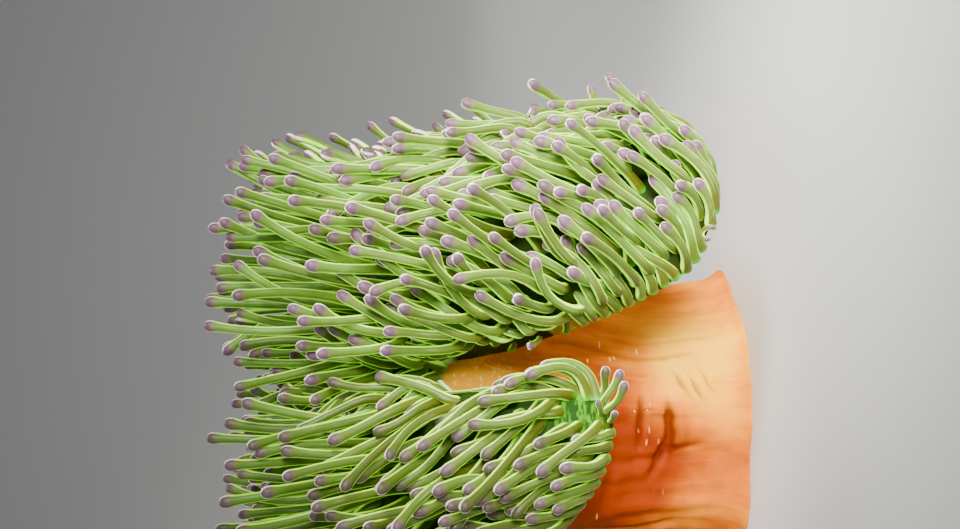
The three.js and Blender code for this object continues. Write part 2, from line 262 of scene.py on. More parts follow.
def underPoint(edge, share):  # the bare face below, from the column's top to the edge
    reach, height, sag = edge["reach"], edge["height"], edge["hang"]
    crest = disc["outerRise"] + sag * disc["foldRise"] - wall["foldThickness"]
    radius = bezier(
        column["topRadius"],
        column["topRadius"] + under["flare"] + under["foldFlare"] * sag,
        reach * edge["shoulder"] - wall["inset"] - wall["foldInset"] * sag,
        reach - disc["edge"], share)
    rise = bezier(
        column["topHeight"],
        column["topHeight"] + under["rise"] + under["foldRise"] * sag,
        lerp(height - wall["thickness"], crest, sag),
        height + 1, share)
    return standing(edge, radius, rise)


def footRadius(angle):
    oval = 1 / np.hypot(np.cos(angle) / foot["halfWidth"], np.sin(angle) / foot["halfDepth"])
    return oval + sum(depth * np.sin(count * angle + phase) for count, depth, phase in foot["scallops"])


def columnRadius(angle, height):
    share = height / column["topHeight"]
    flared = lerp(footRadius(angle), column["topRadius"], smoothstep(0, 1, share))
    return flared - column["waist"] * np.sin(math.pi * share)


# One skin over foot, column, disc and mouth.
skin = dict(
    segments=edgeCount * 12, soleRings=3, columnRings=84, underRings=34, lipRings=5, discRings=46,
    seam=95,  # where the skin's map is cut, in a valley at the back
    throat=4,  # how far the throat's closed end lies below the last ring
    pleats=[(23, 0.8, 0.4), (41, 0.45, 1.9)],  # how many lengthwise pleats, their depth and phase
    creases=[  # height, depth, width, the angle it is deepest at, how far round it runs, and its slant
        (64, 3.4, 1.9, -83, 13, -1), (46, 4.6, 2.6, -86, 11, 1), (53, 4.4, 2.4, -101, 9, -5),
        (30, 2.2, 1.8, -68, 8, 5), (24, 1.8, 1.5, -64, 9, 6), (38, 2, 1.8, -66, 9, 7),
        (84, 1.6, 3, -112, 16, -4), (48, 3, 2.6, 60, 30, 4), (70, 3.2, 2.8, 170, 34, -6),
        (52, 2.6, 2.2, 200, 18, 3), (34, 2.6, 2.6, 130, 24, 3), (60, 2.4, 2.4, 10, 20, -5),
    ],
    swell=(2.6, 1.7, 0.6),  # how far below a crease the skin swells, how widely and how much
    furrows=[  # lengthwise ones: angle, width in degrees, depth, from and to a height
        (-97, 2.2, 2.2, 26, 50), (-52, 1.8, 1.4, 30, 118), (-45, 1.5, 1.1, 18, 96),
        (-60, 1.4, 1, 52, 124), (80, 2.4, 1.6, 30, 110), (160, 2, 1.6, 20, 100), (225, 2, 1.4, 40, 120),
    ],
    fade=8, shadeDepth=3,  # how softly a furrow ends, and how deep a crease or furrow is where its painted shade is darkest
)


def edgeTurns(count):  # evenly numbered places round the edge, starting at the seam
    rows = edgeRows[:, 0]
    start = int(np.argmin(np.abs(rows - skin["seam"]))) / edgeCount
    return start + np.arange(count) / count


def angleFrom(angle, centre):  # signed difference in degrees
    return (np.degrees(angle) - centre + 180) % 360 - 180


def columnFolds(angle, height):  # how far the column's skin is pushed in, and how deep in a crease or furrow it is, for its painted shade
    push, shade = 0 * angle, 0 * angle
    share = height / column["topHeight"]
    middle = np.sin(math.pi * np.clip(share, 0, 1))
    for count, depth, phase in skin["pleats"]:
        push = push - depth * middle * np.sin(count * angle + phase + 1.5 * share)
    below, breadth, much = skin["swell"]
    for level, depth, width, deepest, span, slant in skin["creases"]:
        off = angleFrom(angle, deepest) / span
        above = height - (level + slant * off)
        groove = np.exp(-((above / width) ** 2))
        swell = np.exp(-(((above + below * width) / (breadth * width)) ** 2))
        there = np.exp(-(off ** 2))
        push = push + depth * there * (groove - much * swell)
        shade = shade + there * groove * depth / skin["shadeDepth"]
    for deepest, width, depth, low, high in skin["furrows"]:
        off = angleFrom(angle, deepest + 2 * math.sin(height / 13)) / width
        there = smoothstep(low - skin["fade"], low + skin["fade"], height)
        there = there * (1 - smoothstep(high - skin["fade"], high + skin["fade"], height))
        groove = np.exp(-(off ** 2)) * there
        push = push + depth * groove
        shade = shade + groove * depth / skin["shadeDepth"]
    return push, np.clip(shade, 0, 1)


def skinGrid():  # every ring of the skin, from the sole's middle up, over the edge and into the mouth
    edge = edgeAt(edgeTurns(skin["segments"]))
    angle = edge["angle"]
    rings, zones, shades = [], [], []

    def ring(points, zone, shade=0.0):
        rings.append(points)
        zones.append(zone)
        shades.append(shade + 0 * angle)

    for i in range(skin["soleRings"]):
        share = (i + 1) / (skin["soleRings"] + 0.3)
        ring(standing(edge, (columnRadius(angle, 0.0) + foot["spread"]) * share, 0.0), 0.0)
    for share in np.arange(skin["columnRings"]) / skin["columnRings"]:
        height = column["topHeight"] * share ** 1.12
        spread = foot["spread"] * np.clip(1 - height / foot["thickness"], 0, 1) ** 1.6
        push, shade = columnFolds(angle, height)
        radius = columnRadius(angle, height) + spread - push
        ring(standing(edge, radius, height), lerp(0.02, 0.4, share), shade)
    for share in np.arange(skin["underRings"]) / skin["underRings"]:
        ring(underPoint(edge, share), lerp(0.4, 0.6, share))
    low, high = underPoint(edge, 1.0), upperPoint(edge, 1.0)
    middle, half = (low + high) / 2, (low - high) / 2
    onward = unit(high - upperPoint(edge, 0.99)) * (apart(low, high) / 2)[:, None]
    for share in np.arange(skin["lipRings"]) / skin["lipRings"]:
        swing = math.pi * share
        ring(middle + half * math.cos(swing) + onward * math.sin(swing), lerp(0.6, 0.62, share))
    for i in range(skin["discRings"] + 1):
        share = 1 - 0.93 * i / skin["discRings"]
        ring(upperPoint(edge, share), lerp(0.62, 0.94, i / skin["discRings"]))
    for i, (radius, height, oval) in enumerate(mouth["lipRings"]):
        share = (i + 1) / len(mouth["lipRings"])
        ring(standing(edge, radius, height) * [1, oval, 1], lerp(0.94, 1.0, share))
    return np.array(rings), np.array(zones), np.array(shades)


def roughen(rings, zones):  # soft unevenness and fine wrinkles, none where the animal stands
    across = np.roll(rings, -1, 1) - np.roll(rings, 1, 1)
    along = np.gradient(rings, axis=0)
    normal = unit(np.cross(across, along))
    ease = smoothstep(0.02, 0.1, zones) * (1 - smoothstep(0.9, 0.95, zones))
    onColumn = smoothstep(0.03, 0.1, zones) * (1 - smoothstep(0.38, 0.5, zones))
    bumps = 2.0 * wobble(rings, 34, 1) + 0.8 * wobble(rings, 13, 2)
    wrinkles = np.abs(wobble(rings * [1, 1, 0.28], 7.5, 6)) - 0.25
    return rings + normal * (bumps * ease[:, None] + wrinkles * 1.6 * onColumn[:, None])[..., None]


def pullUp(storeys):  # the selected ring, pulled up storey by storey and closed at its top
    for _ in range(storeys):
        extrudeBy(0, 0, 1)
    bpy.ops.mesh.edge_face_add()
    bpy.ops.mesh.poke()


def faceOutwards():  # turns every face outwards and leaves edit mode
    bpy.ops.mesh.select_all(action="SELECT")
    bpy.ops.mesh.normals_make_consistent(inside=False)
    inMode("OBJECT")


def unwrap(around, atPole, totals):  # shares of the way round for a map, running on past its cut
    face = np.repeat(np.arange(len(totals)), totals)
    widest = np.zeros(len(totals))
    np.maximum.at(widest, face, np.where(atPole, 0, around))
    around = around + ((widest[face] > 0.75) & (around < 0.25) & ~atPole)
    sums = np.bincount(face, np.where(atPole, 0, around))
    counts = np.maximum(np.bincount(face, ~atPole), 1)
    return np.where(atPole, (sums / counts)[face], around)  # a pole lies amid its own face


def readOut(rows, name, width=1):  # one value, or width of them, for every row of a mesh's data
    values = np.zeros(len(rows) * width, float if width > 1 else int)
    rows.foreach_get(name, values)
    return values


def setMap(mesh, name, spots):
    layer = mesh.uv_layers.get(name) or mesh.uv_layers.new(name=name)
    layer.data.foreach_set("uv", spots.astype(np.float32).ravel())


def setShade(mesh, name, values):
    shade = mesh.attributes.new(name, "FLOAT", "POINT")
    shade.data.foreach_set("value", values.astype(np.float32))


def mapSkin(mesh, segment, poles, zone):  # round the animal, and from the sole to the mouth
    corners = readOut(mesh.loops, "vertex_index")
    totals = readOut(mesh.polygons, "loop_total")
    around = unwrap(segment[corners] / skin["segments"], poles[corners], totals)
    for name in ("BodyMap", "OFBake"):
        setMap(mesh, name, np.stack([around / 1.01, zone[corners] * 0.98 + 0.01], -1))
    for spare in [layer.name for layer in mesh.uv_layers if layer.name not in ("BodyMap", "OFBake")]:
        mesh.uv_layers.remove(mesh.uv_layers[spare])


def makeSkin(finish):
    rings, zones, shades = skinGrid()
    rings = roughen(rings, zones)
    ringCount, segments = rings.shape[:2]
    bpy.ops.mesh.primitive_circle_add(vertices=segments, radius=1, fill_type="TRIFAN")
    piece = bpy.context.object
    piece.name = "skin"
    selectEdges(piece, lambda spot: spot.length > 0.5)
    pullUp(ringCount - 1)  # one storey for each ring
    inMode("OBJECT")
    # each vertex knows its ring by its storey and its segment by its angle, and goes to its place
    mesh = piece.data
    x, y, z = readOut(mesh.vertices, "co", 3).reshape(-1, 3).T
    ring = np.rint(z).astype(int)
    segment = np.rint(np.arctan2(y, x) / (2 * math.pi) * segments).astype(int) % segments
    placed = rings[ring, segment]
    poles = np.hypot(x, y) < 0.5
    ends = np.array([rings[0].mean(0), rings[-1].mean(0) - [0, 0, skin["throat"]]])
    placed[poles] = ends[(ring[poles] > 0).astype(int)]
    mesh.vertices.foreach_set("co", (placed * mm).ravel())
    # how deep in a crease or furrow each point lies, for the painted shade there
    setShade(mesh, "crease", np.where(poles, 0, shades[ring, segment]))
    zone = np.concatenate([zones, [1]])[ring]
    mapSkin(mesh, segment, poles, np.where(poles, np.where(ring > 0, 1.0, 0.0), zone))
    mesh.update()
    inMode("EDIT")
    faceOutwards()
    bpy.ops.object.shade_smooth()
    mesh.materials.append(finish)
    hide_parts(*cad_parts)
    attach(piece, "root")
    print("skin:", len(mesh.polygons), "faces")
    return piece


# The tentacles.
tentacle = dict(
    sides=10, thickness=5.5, length=66, sink=2.5, joints=14,
    stations=[  # share of the length, and thickness there as a share
        (0, 1.3), (0.05, 1.24), (0.1, 1.15), (0.15, 1.08), (0.2, 1.03), (0.26, 1.0), (0.34, 0.94),
        (0.44, 0.9), (0.55, 0.87), (0.66, 0.86), (0.77, 0.86), (0.86, 0.93), (0.905, 1.06), (0.94, 1.14),
        (0.968, 1.04), (0.988, 0.74), (0.998, 0.3),
    ],
    rise=0.2, edgeRise=0.13, outward=0.1, fan=(0.1, 0.58), tilt=0.12, clump=0.24, sway=0.2, perk=0.55,
    longest=1.12, shortest=0.76, frontShorter=0.2, rimShorter=0.16, rowShorter=0.14, topShorter=0.3,
    crest=13,  # how much longer they are on the crests
    overhang=1.2, slitOverhang=2,  # how far past the edge the outermost row stands, to hide the rim
)
planting = dict(
    rows=[  # rows along the edge: how far in, how closely set, and how far they turn outwards
        (0.3, 6.7, 1.0), (7.6, 8.4, 0.5), (16.0, 9.6, 0.25),
    ],
    walk=6000, shares=60,  # how finely the edge is walked round, and how finely inwards from it
    spacing=8.9, crestSpacing=9.8, frontSpacing=7.9, slitSpacing=7.6,
    rowSpacing=5.4, topRightExtra=4.5, besideRightExtra=2.4, bare=34, middle=88, candidates=40000,
)
settling = dict(
    rounds=34, quickRounds=4, gap=1.1, most=2.5, ease=0.8, back=0.03, straighten=0.35,
    offSkin=0.7, skinReach=40, smoothings=8,
)
crestSlope = (0.35, 0.85)  # how level the flesh is where its crests begin, and where they are full
frontDepth = (15, 70)  # how far to the front of the middle the front's own combing sets in
topRow = (148, 172)  # the x at which the front right fold's top begins, and where it is full
# On the front right fold they are combed towards a line across it: its height over the ground and
# its x at two places, and how strongly and over what distance they turn to it from each side.
parting = dict(high=(170, 113), low=(50, 164), below=(0.95, 48), above=(1.0, 17))
frontLeftSweep = dict(lean=(-0.22, -0.95), height=(104, 138), over=(-25, 18))
notch = dict(x=30, width=20, share=0.2)  # the crown dips in line with the slit
strays = [  # the few that stand out: root, how they set off, where they point, length, bend, thickness, taper
    ((30, -155, 100), (0.8, -0.4, -0.2), (0.98, -0.1, -0.12), 18, 0.3, 0.82, 0),
    ((27, -156, 99), (0.8, -0.4, -0.3), (0.92, -0.1, -0.36), 20, 0.3, 0.82, 0),
    ((23, -157, 98), (0.7, -0.4, -0.3), (0.84, -0.1, -0.5), 19, 0.3, 0.82, 0),
    ((22, -157, 101), (0.9, -0.5, 0), (1, -0.2, 0.1), 9, 0.3, 0.55, 0),
    ((18, -158, 100), (0.6, -0.6, -0.2), (0.8, -0.3, -0.4), 9, 0.3, 0.6, 0),
    ((30, -155, 104), (1, -0.1, -0.12), (0.14, 0, 1), 42, 0.36, 0.95, 0),
    ((29, -153, 107), (1, -0.1, 0), (0.1, 0, 1), 44, 0.3, 0.95, 0),
    ((29, -150, 111), (1, -0.1, 0.1), (0.16, 0, 1), 50, 0.26, 0.9, 0),
    ((29, -148, 115), (1, -0.2, 0.3), (0.02, 0, 1), 50, 0.18, 0.95, 0),
    ((28, -142, 120), (1, 0.2, 0.3), (0, 0.1, 1), 42, 0.2, 0.9, 0),
    ((28, -136, 128), (1, 0.2, 0.3), (-0.06, 0.1, 1), 40, 0.2, 0.9, 0),
    ((26, -152, 119), (0.3, -1, 0.3), (0.03, -0.05, 1), 56, 0.14, 1, 0),
    ((24, -125, 150), (0.2, -1, 0.3), (0.06, -0.2, 1), 46, 0.14, 0.95, 0),
    ((20, -154, 122), (0.1, -1, 0.3), (-0.28, -0.1, 1), 46, 0.16, 1, 0),
    ((13, -156, 119), (0, -1, 0.3), (-0.46, -0.1, 1), 58, 0.16, 1.05, 0),
    ((16, -159, 104), (-0.1, -1, 0.1), (-0.5, -0.1, 1), 52, 0.16, 1, 0),
    ((113, -172, 46), (0, -0.4, -1), (0.1, -0.1, -1), 8.5, 0.3, 0.9, 0.55),
    ((108, -173, 46), (0, -0.5, -1), (0.1, -0.1, -0.6), 6.5, 0.3, 0.8, 0.5),
    ((54, -124, 131), (-0.8, -0.5, 0), (-1, -0.3, -0.1), 8.5, 0.3, 0.7, 0.6),
    ((56, -126, 127), (-0.5, -0.8, 0), (-0.15, -0.4, 1), 15, 0.3, 0.7, 0),
    ((186, -96, 76), (0.8, -0.4, 0), (0.5, -0.3, 0.8), 24, 0.3, 0.85, 0),
    ((184, -88, 84), (0.9, -0.2, 0.2), (-0.5, -0.5, 0.4), 26, 0.4, 0.85, 0),
    ((181, -80, 92), (0.9, -0.1, 0), (0.9, -0.1, 0.3), 18, 0.3, 0.85, 0),
    ((177, -70, 102), (0.9, -0.1, 0), (-0.4, -0.6, 0.8), 27, 0.4, 0.85, 0),
    ((172, -60, 116), (0.8, 0, 0.2), (0.7, 0.1, 0.5), 19, 0.3, 0.85, 0),
    ((166, -52, 130), (0.8, -0.2, 0.2), (-0.5, -0.6, 0.5), 30, 0.4, 0.9, 0),
]
# The slit between the two front folds stays open: x, height and half width at its two ends, and how
# far back it reaches. The pocket is where the front left fold is rolled and its face shows bare.
slit = dict(top=(35.5, 177, 10.5), bottom=(51, 126, 1), front=-92)
pocket = dict(at=(22, -156, 110), radius=8.5)


def faceData(turn, share):  # place, normal and the ways onward and round at shares of the upper face
    step = 0.002
    edge = edgeAt(turn)
    onward = unit(upperPoint(edge, np.minimum(share + step, 1)) - upperPoint(edge, share - step))
    sideways = unit(upperPoint(edgeAt(turn + step), share) - upperPoint(edgeAt(turn - step), share))
    return dict(
        place=upperPoint(edge, share), onward=onward, round=sideways,
        normal=unit(np.cross(onward, sideways)), angle=edge["angle"],
    )


def foldShare(turn):  # the fold a place belongs to, and how far through it the place lies
    place = np.mod(turn, 1) * edgeCount
    index = np.clip(np.searchsorted(foldStarts, place, side="right") - 1, 0, len(folds) - 1)
    return index, (place - foldStarts[index]) / (foldStarts[index + 1] - foldStarts[index])


def inFold(fold, name):
    return fold == foldNames.index(name)


def crestShare(normal):
    return smoothstep(*crestSlope, normal[:, 2])


def rootsAlongEdge(inward, across):
    turns = np.linspace(0, 1, planting["walk"], endpoint=False)
    steps = np.arange(planting["walk"])
    edge = edgeAt(turns)
    inwards = np.linspace(1, 0.5, planting["shares"])
    tail = np.stack([upperPoint(edge, np.full(turns.shape, s)) for s in inwards])
    left = np.cumsum(apart(tail[1:], tail[:-1]), axis=0)
    shares = inwards[(left < inward).sum(0)]
    places = upperPoint(edge, shares)
    walked = np.concatenate([[0], np.cumsum(apart(places[1:], places[:-1]))])
    count = int(walked[-1] / across)
    at = np.interp((np.arange(count) + 0.5 * (inward > 5)) * walked[-1] / count, walked, steps)
    return at / planting["walk"], np.interp(at, steps, shares)


def besideSlit(turn, place):  # the front left fold's own side of the slit
    x, _, z = place.T
    return (np.mod(turn, 1) > foldStarts[-2] / edgeCount) & (x > 2) & (z > 100)


def rootsToTry(rng):  # rows along the edge, then many over the rest of the disc, evenly by area
    turns, shares, flings = [], [], []
    for inward, across, fling in planting["rows"]:
        turn, share = rootsAlongEdge(inward, across)
        turns.append(turn)
        shares.append(share)
        flings.append(np.full(turn.shape, fling))
    turn = rng.random(planting["candidates"])
    share = rng.random(planting["candidates"]) ** 0.75
    edge = edgeAt(turn)
    step = 0.004
    long = apart(upperPoint(edge, share + step), upperPoint(edge, share - step))
    wide = apart(upperPoint(edgeAt(turn + step), share), upperPoint(edgeAt(turn - step), share))
    area = long * wide / (share ** (-1 / 3) + 0.3)
    kept = rng.random(len(turn)) < area / np.percentile(area, 97)
    turns.append(turn[kept])
    shares.append(share[kept])
    flings.append(np.zeros(kept.sum()))
    return (np.concatenate(part) for part in (turns, shares, flings))


def spacingOf(turn, share, fling, places):  # how far each root keeps from its neighbours
    fold, _ = foldShare(turn)
    face = faceData(turn, np.minimum(share, 0.99))
    right = inFold(fold, "front_right")
    front = right | inFold(fold, "front_left")
    spacing = np.where(front, planting["frontSpacing"], planting["spacing"])
    spacing = lerp(spacing, planting["crestSpacing"], crestShare(face["normal"]))
    spacing = np.where(besideSlit(turn, places), planting["slitSpacing"], spacing)
    steep = smoothstep(0.2, 0.5, np.abs(face["round"][:, 2]))
    x, y, z = places.T
    topRight = (x > 140) & (y < -20)
    besideRight = right & (z > 112) & (x < 84)
    along = planting["rowSpacing"] + planting["topRightExtra"] * topRight * steep
    return np.where(fling > 0, along + planting["besideRightExtra"] * besideRight, spacing)


def plantRoots(rng):  # the strays first, then as many of the others as fit
    turn, share, fling = rootsToTry(rng)
    places = upperPoint(edgeAt(turn), share)
    first = [int(np.argmin(apart(places, np.array(at)))) for at, *_ in strays]
    fling[first] = 0
    spacing = spacingOf(turn, share, fling, places)
    chosen, cells = [], {}
    for i in first + list(range(len(places))):
        place = places[i]
        if not fling[i] and math.hypot(place[0], place[1]) < planting["bare"]:
            continue
        if i not in first and apart(place, pocket["at"]) < pocket["radius"]:
            continue
        cell = tuple(np.floor(place / planting["crestSpacing"]).astype(int))
        near = [
            j for dx in (-1, 0, 1) for dy in (-1, 0, 1) for dz in (-1, 0, 1)
            for j in cells.get((cell[0] + dx, cell[1] + dy, cell[2] + dz), ())
        ]
        free = all(((places[j] - place) ** 2).sum() > spacing[i] ** 2 for j in near)
        if free or len(chosen) < len(first):
            chosen.append(i)
            cells.setdefault(cell, []).append(i)
    return turn[chosen], share[chosen], fling[chosen]


def frontCombing(place, crest, fold, fling):  # the two front folds are combed in ways of their own
    x, y, z = place.T
    inFront = smoothstep(*frontDepth, -y) * (1 - crest)
    (high, highX), (low, lowX) = parting["high"], parting["low"]
    off = x - lerp(highX, lowX, (high - z) / (high - low))
    (below, belowOver), (above, aboveOver) = parting["below"], parting["above"]
    sweep = -np.where(off < 0, below * np.tanh(off / belowOver), above * np.tanh(off / aboveOver))
    right = inFront * inFold(fold, "front_right")
    left = inFront * inFold(fold, "front_left")
    leftward = lerp(*frontLeftSweep["lean"], smoothstep(*frontLeftSweep["height"], z))
    leftward = leftward * smoothstep(*frontLeftSweep["over"], x)
    return (sweep + 0.6 * fling * (off < -20)) * right + leftward * left, right, left


def leanOf(face, turn, fling, rng):  # which way each tentacle points
    fold, share = foldShare(turn)
    place, normal = face["place"], face["normal"]
    first, last = np.array([gathers[name] for name in foldNames])[fold].T
    gather = np.where(share < 0.5, first, last) * (1 - 2 * share)
    radial = standing(face, 1, 0)
    sideways = np.cross(up, radial)
    crest = crestShare(normal)
    level = normal * [1, 1, 0]
    inwards = np.clip(-(level * radial).sum(-1), 0, 1)
    fan = lerp(*tentacle["fan"], crest) - 1.5 * inwards
    sweep, right, left = frontCombing(place, crest, fold, fling)
    gather = gather * (1 - crest) * (1 - right - left)
    lean = up + normal * tentacle["outward"] + level * fan[:, None] + sideways * gather[:, None]
    lean = lean + sweep[:, None] * np.array([1, 0, 0])
    clump = np.stack([wobble(place, 26, seed) for seed in (3, 4, 5)], -1)
    tousled = right * smoothstep(*topRow, place[:, 0])  # along the front right fold's top
    strew = (1 - 0.5 * fling * (1 - tousled)) * (1 - 0.35 * left - 0.45 * right + 1.5 * tousled)
    scatter = clump * tentacle["clump"] + rng.normal(0, tentacle["tilt"], place.shape)
    return unit(unit(lean) + scatter * strew[:, None]), crest


def growSpines(face, first, lean, length, rise, rng):  # the middle line of each tentacle, root first
    count = len(lean)
    start = face["place"] - first * tentacle["sink"]
    turned = face["place"] + first * (length * rise)[:, None]
    sideways = unit(np.cross(lean, face["normal"]) + 1e-6)
    sway = rng.normal(0, tentacle["sway"], (count, 1)) * length[:, None]
    reach = (length * (1 - rise))[:, None]
    perk = (rng.random((count, 1)) ** 4) * tentacle["perk"] * length[:, None]
    tip = turned + lean * reach - sideways * sway * rng.uniform(-0.6, 1.1, (count, 1))
    tip = tip + face["normal"] * perk
    middle = turned + lean * reach * 0.45 + sideways * sway
    shares = np.linspace(0, 1, tentacle["joints"])
    return np.stack([bezier(start, turned, middle, tip, share) for share in shares], 1)


def keepSlitOpen(spines):  # moves what hangs in front of the slit to the side it grows on
    (topX, top, topHalf), (bottomX, bottom, bottomHalf) = slit["top"], slit["bottom"]
    x, y, z = np.moveaxis(spines, -1, 0)
    down = np.clip((top - z) / (top - bottom), 0, 1)
    middle = lerp(topX, bottomX, down)
    half = lerp(topHalf, bottomHalf, down) + tentacle["thickness"] / 2
    side = np.where(x[:, :1] > middle, 1, -1)
    off = (x - middle) * side
    there = (z < top) & (z > bottom - 25) & (y < slit["front"]) & (off < half) & (off > -40)
    spines[..., 0] += np.where(there, np.minimum(half - off, 3) * side, 0)
    return spines


def pushedApart(spines, gap):  # how far each joint is pushed by other tentacles' joints near it
    joints = spines.shape[1]
    flat = spines.reshape(-1, 3)
    tree = KDTree(len(flat))
    for i, point in enumerate(flat):
        tree.insert(point, i)
    tree.balance()
    push = np.zeros_like(flat)
    for i, point in enumerate(flat):
        if i % joints < 2:
            continue
        for other, j, between in tree.find_range(point, gap):
            if j > i and i // joints != j // joints and between > 1e-6:
                shift = (point - np.array(other)) * ((gap - between) * 0.5 / between)
                push[i] += shift
                push[j] -= shift
    strength = np.linalg.norm(push, axis=-1, keepdims=True)
    return (push * np.minimum(1, settling["most"] / np.maximum(strength, 1e-9))).reshape(spines.shape)


def liftOffSkin(spines, gap, skinTree):
    joints = spines.shape[1]
    for i, point in enumerate(spines.reshape(-1, 3)):
        if i % joints < 3:
            continue
        spot, normal, _, away = skinTree.find_nearest(point)
        outside = (Vector(point) - spot).dot(normal)
        if outside < gap / 2 and away < settling["skinReach"]:
            lift = np.array(normal) * (gap / 2 - outside) * settling["offSkin"]
            spines[i // joints, i % joints] += lift


def settle(spines, length, skinTree):  # so that crowded tentacles don't cut each other
    joints = spines.shape[1]
    gap = tentacle["thickness"] * settling["gap"]
    link = ((length + tentacle["sink"]) / (joints - 1))[:, None]
    wanted = spines.copy()
    loose = np.clip(np.linspace(-0.15, 1.1, joints), 0, 1)[None, :, None]
    for turn in range(settling["rounds"]):
        spines = spines + pushedApart(spines, gap) * loose * settling["ease"]
        spines = spines + (wanted - spines) * settling["back"] * loose
        straight = (spines[:, :-2] + spines[:, 2:]) / 2
        spines[:, 1:-1] += (straight - spines[:, 1:-1]) * settling["straighten"] * loose[:, 1:-1]
        spines = keepSlitOpen(spines)
        if turn % 3 == 2:
            liftOffSkin(spines, gap, skinTree)
        for k in range(1, joints):  # every link gets its length back
            spines[:, k] = spines[:, k - 1] + unit(spines[:, k] - spines[:, k - 1]) * link
    for _ in range(settling["smoothings"]):
        spines[:, 1:-1] = spines[:, 1:-1] * 0.5 + (spines[:, :-2] + spines[:, 2:]) * 0.25
    return spines


def makeTemplate():  # one tentacle standing up: a ring pulled up storey by storey, closed at its tip
    bpy.ops.object.select_all(action="DESELECT")
    bpy.ops.mesh.primitive_circle_add(vertices=tentacle["sides"], radius=1, fill_type="NOTHING")
    piece = bpy.context.object
    inMode("EDIT")
    bpy.ops.mesh.select_all(action="SELECT")
    pullUp(len(tentacle["stations"]) - 1)
    faceOutwards()
    points = np.array([vertex.co for vertex in piece.data.vertices])
    faces = [list(polygon.vertices) for polygon in piece.data.polygons]
    bpy.data.objects.remove(piece)
    storey = np.rint(points[:, 2]).astype(int)
    onAxis = np.hypot(points[:, 0], points[:, 1]) < 0.5
    along, width = np.array(tentacle["stations"])[storey].T
    return dict(
        points=points, corners=np.concatenate(faces), totals=np.array([len(face) for face in faces]),
        storey=np.where(onAxis, len(tentacle["stations"]), storey), onAxis=onAxis,
        along=np.where(onAxis, 1.0, along), width=np.where(onAxis, 0.0, width),
    )


def patchSpots(turn, share):  # rows and columns in the order of the roots' places on the skin
    count = len(turn)
    columns = math.ceil(math.sqrt(count))
    byTurn = np.argsort(turn)
    spots = np.zeros((count, 2))
    for column in range(columns):
        these = byTurn[column * columns:(column + 1) * columns]
        these = these[np.argsort(share[these])]
        spots[these] = np.stack([np.full(len(these), column), np.arange(len(these))], -1)
    return spots / columns, columns


def placeTentacles(template, group):  # every vertex of a group of tentacles
    points, along, spines = template["points"], template["along"], group["spines"]
    count, joints = spines.shape[:2]
    # the tip's round end is as long on a short tentacle as on a long one
    lengths = apart(spines[:, 1:], spines[:, :-1]).sum(1)
    usual = tentacle["length"] * group["thickness"] / tentacle["thickness"]
    stretch = np.clip(usual / lengths, 0.5, 4)[:, None]
    neck = 1 - 0.2 * stretch
    spread = np.where(along > 0.8, 1 - (1 - along) * stretch, along / 0.8 * neck)
    # the middle line, its direction and a steady side at every station
    place = spread * (joints - 1)
    low = np.clip(place.astype(int), 0, joints - 2)
    part = (place - low)[..., None]
    each = np.arange(count)[:, None]
    ways = np.gradient(spines, axis=1)
    here, after = spines[each, low], spines[each, low + 1]
    chord = after - here
    curve = (1 - part) * (ways[each, low] - chord) - part * (ways[each, low + 1] - chord)
    centre = lerp(here, after, part) + part * (1 - part) * curve
    way = unit(lerp(ways[each, low], ways[each, low + 1], part))
    outs = np.zeros_like(spines)
    carried = group["outward"]
    for k in reversed(range(joints)):  # the outer side is carried down from the tip without twisting
        onward = unit(ways[:, k])
        carried = unit(carried - onward * (carried * onward).sum(-1, keepdims=True))
        outs[:, k] = carried
    out = lerp(outs[each, low], outs[each, low + 1], part)
    out = unit(out - way * (out * way).sum(-1, keepdims=True))
    side = np.cross(way, out)
    radius = group["thickness"][:, None] / 2 * template["width"] * (1 - group["taper"][:, None] * along)
    radius = np.where(template["onAxis"], 0, radius)[..., None]
    return centre + (out * points[:, 0:1] + side * points[:, 1:2]) * radius


def mapTentacles(mesh, template, spots, columns):
    corners, count = template["corners"], len(spots)
    # how far round from the outer side, and how far along, each corner lies
    turn = np.arctan2(template["points"][:, 1], template["points"][:, 0]) / (2 * math.pi) % 1
    around = unwrap(turn[corners], template["onAxis"][corners], template["totals"])
    own = np.stack([around, template["along"][corners]], -1)
    setMap(mesh, "TentacleMap", np.tile(own, (count, 1)))
    # each has a patch of its own, set by its root's place, with room for the colours of its tip
    storey = template["storey"][corners] / len(tentacle["stations"])
    patch = np.stack([around / 1.06, storey], -1) * 0.9 + 0.05
    setMap(mesh, "OFBake", spots[:, None, :] + patch / columns)


def makeTentacles(name, template, group, spots, columns, finish):
    count, size = len(spots), len(template["points"])
    corners = (template["corners"] + np.arange(count)[:, None] * size).ravel()
    totals = np.tile(template["totals"], count)
    mesh = bpy.data.meshes.new(name)
    mesh.vertices.add(count * size)
    mesh.vertices.foreach_set("co", (placeTentacles(template, group) * mm).astype(np.float32).ravel())
    mesh.loops.add(len(corners))
    mesh.loops.foreach_set("vertex_index", corners.astype(np.int32))
    mesh.polygons.add(len(totals))
    mesh.polygons.foreach_set("loop_start", (np.cumsum(totals) - totals).astype(np.int32))
    mesh.update(calc_edges=True)
    mapTentacles(mesh, template, spots, columns)
    for shade in ("tone", "darkToneAndShade"):
        setShade(mesh, shade, np.repeat(group[shade], size))
    mesh.validate()
    piece = bpy.data.objects.new(name, mesh)
    bpy.context.scene.collection.objects.link(piece)
    mesh.polygons.foreach_set("use_smooth", np.ones(len(mesh.polygons), bool))
    mesh.materials.append(finish)
    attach(piece, "root")
    print(name, count, "tentacles,", len(mesh.polygons), "faces")


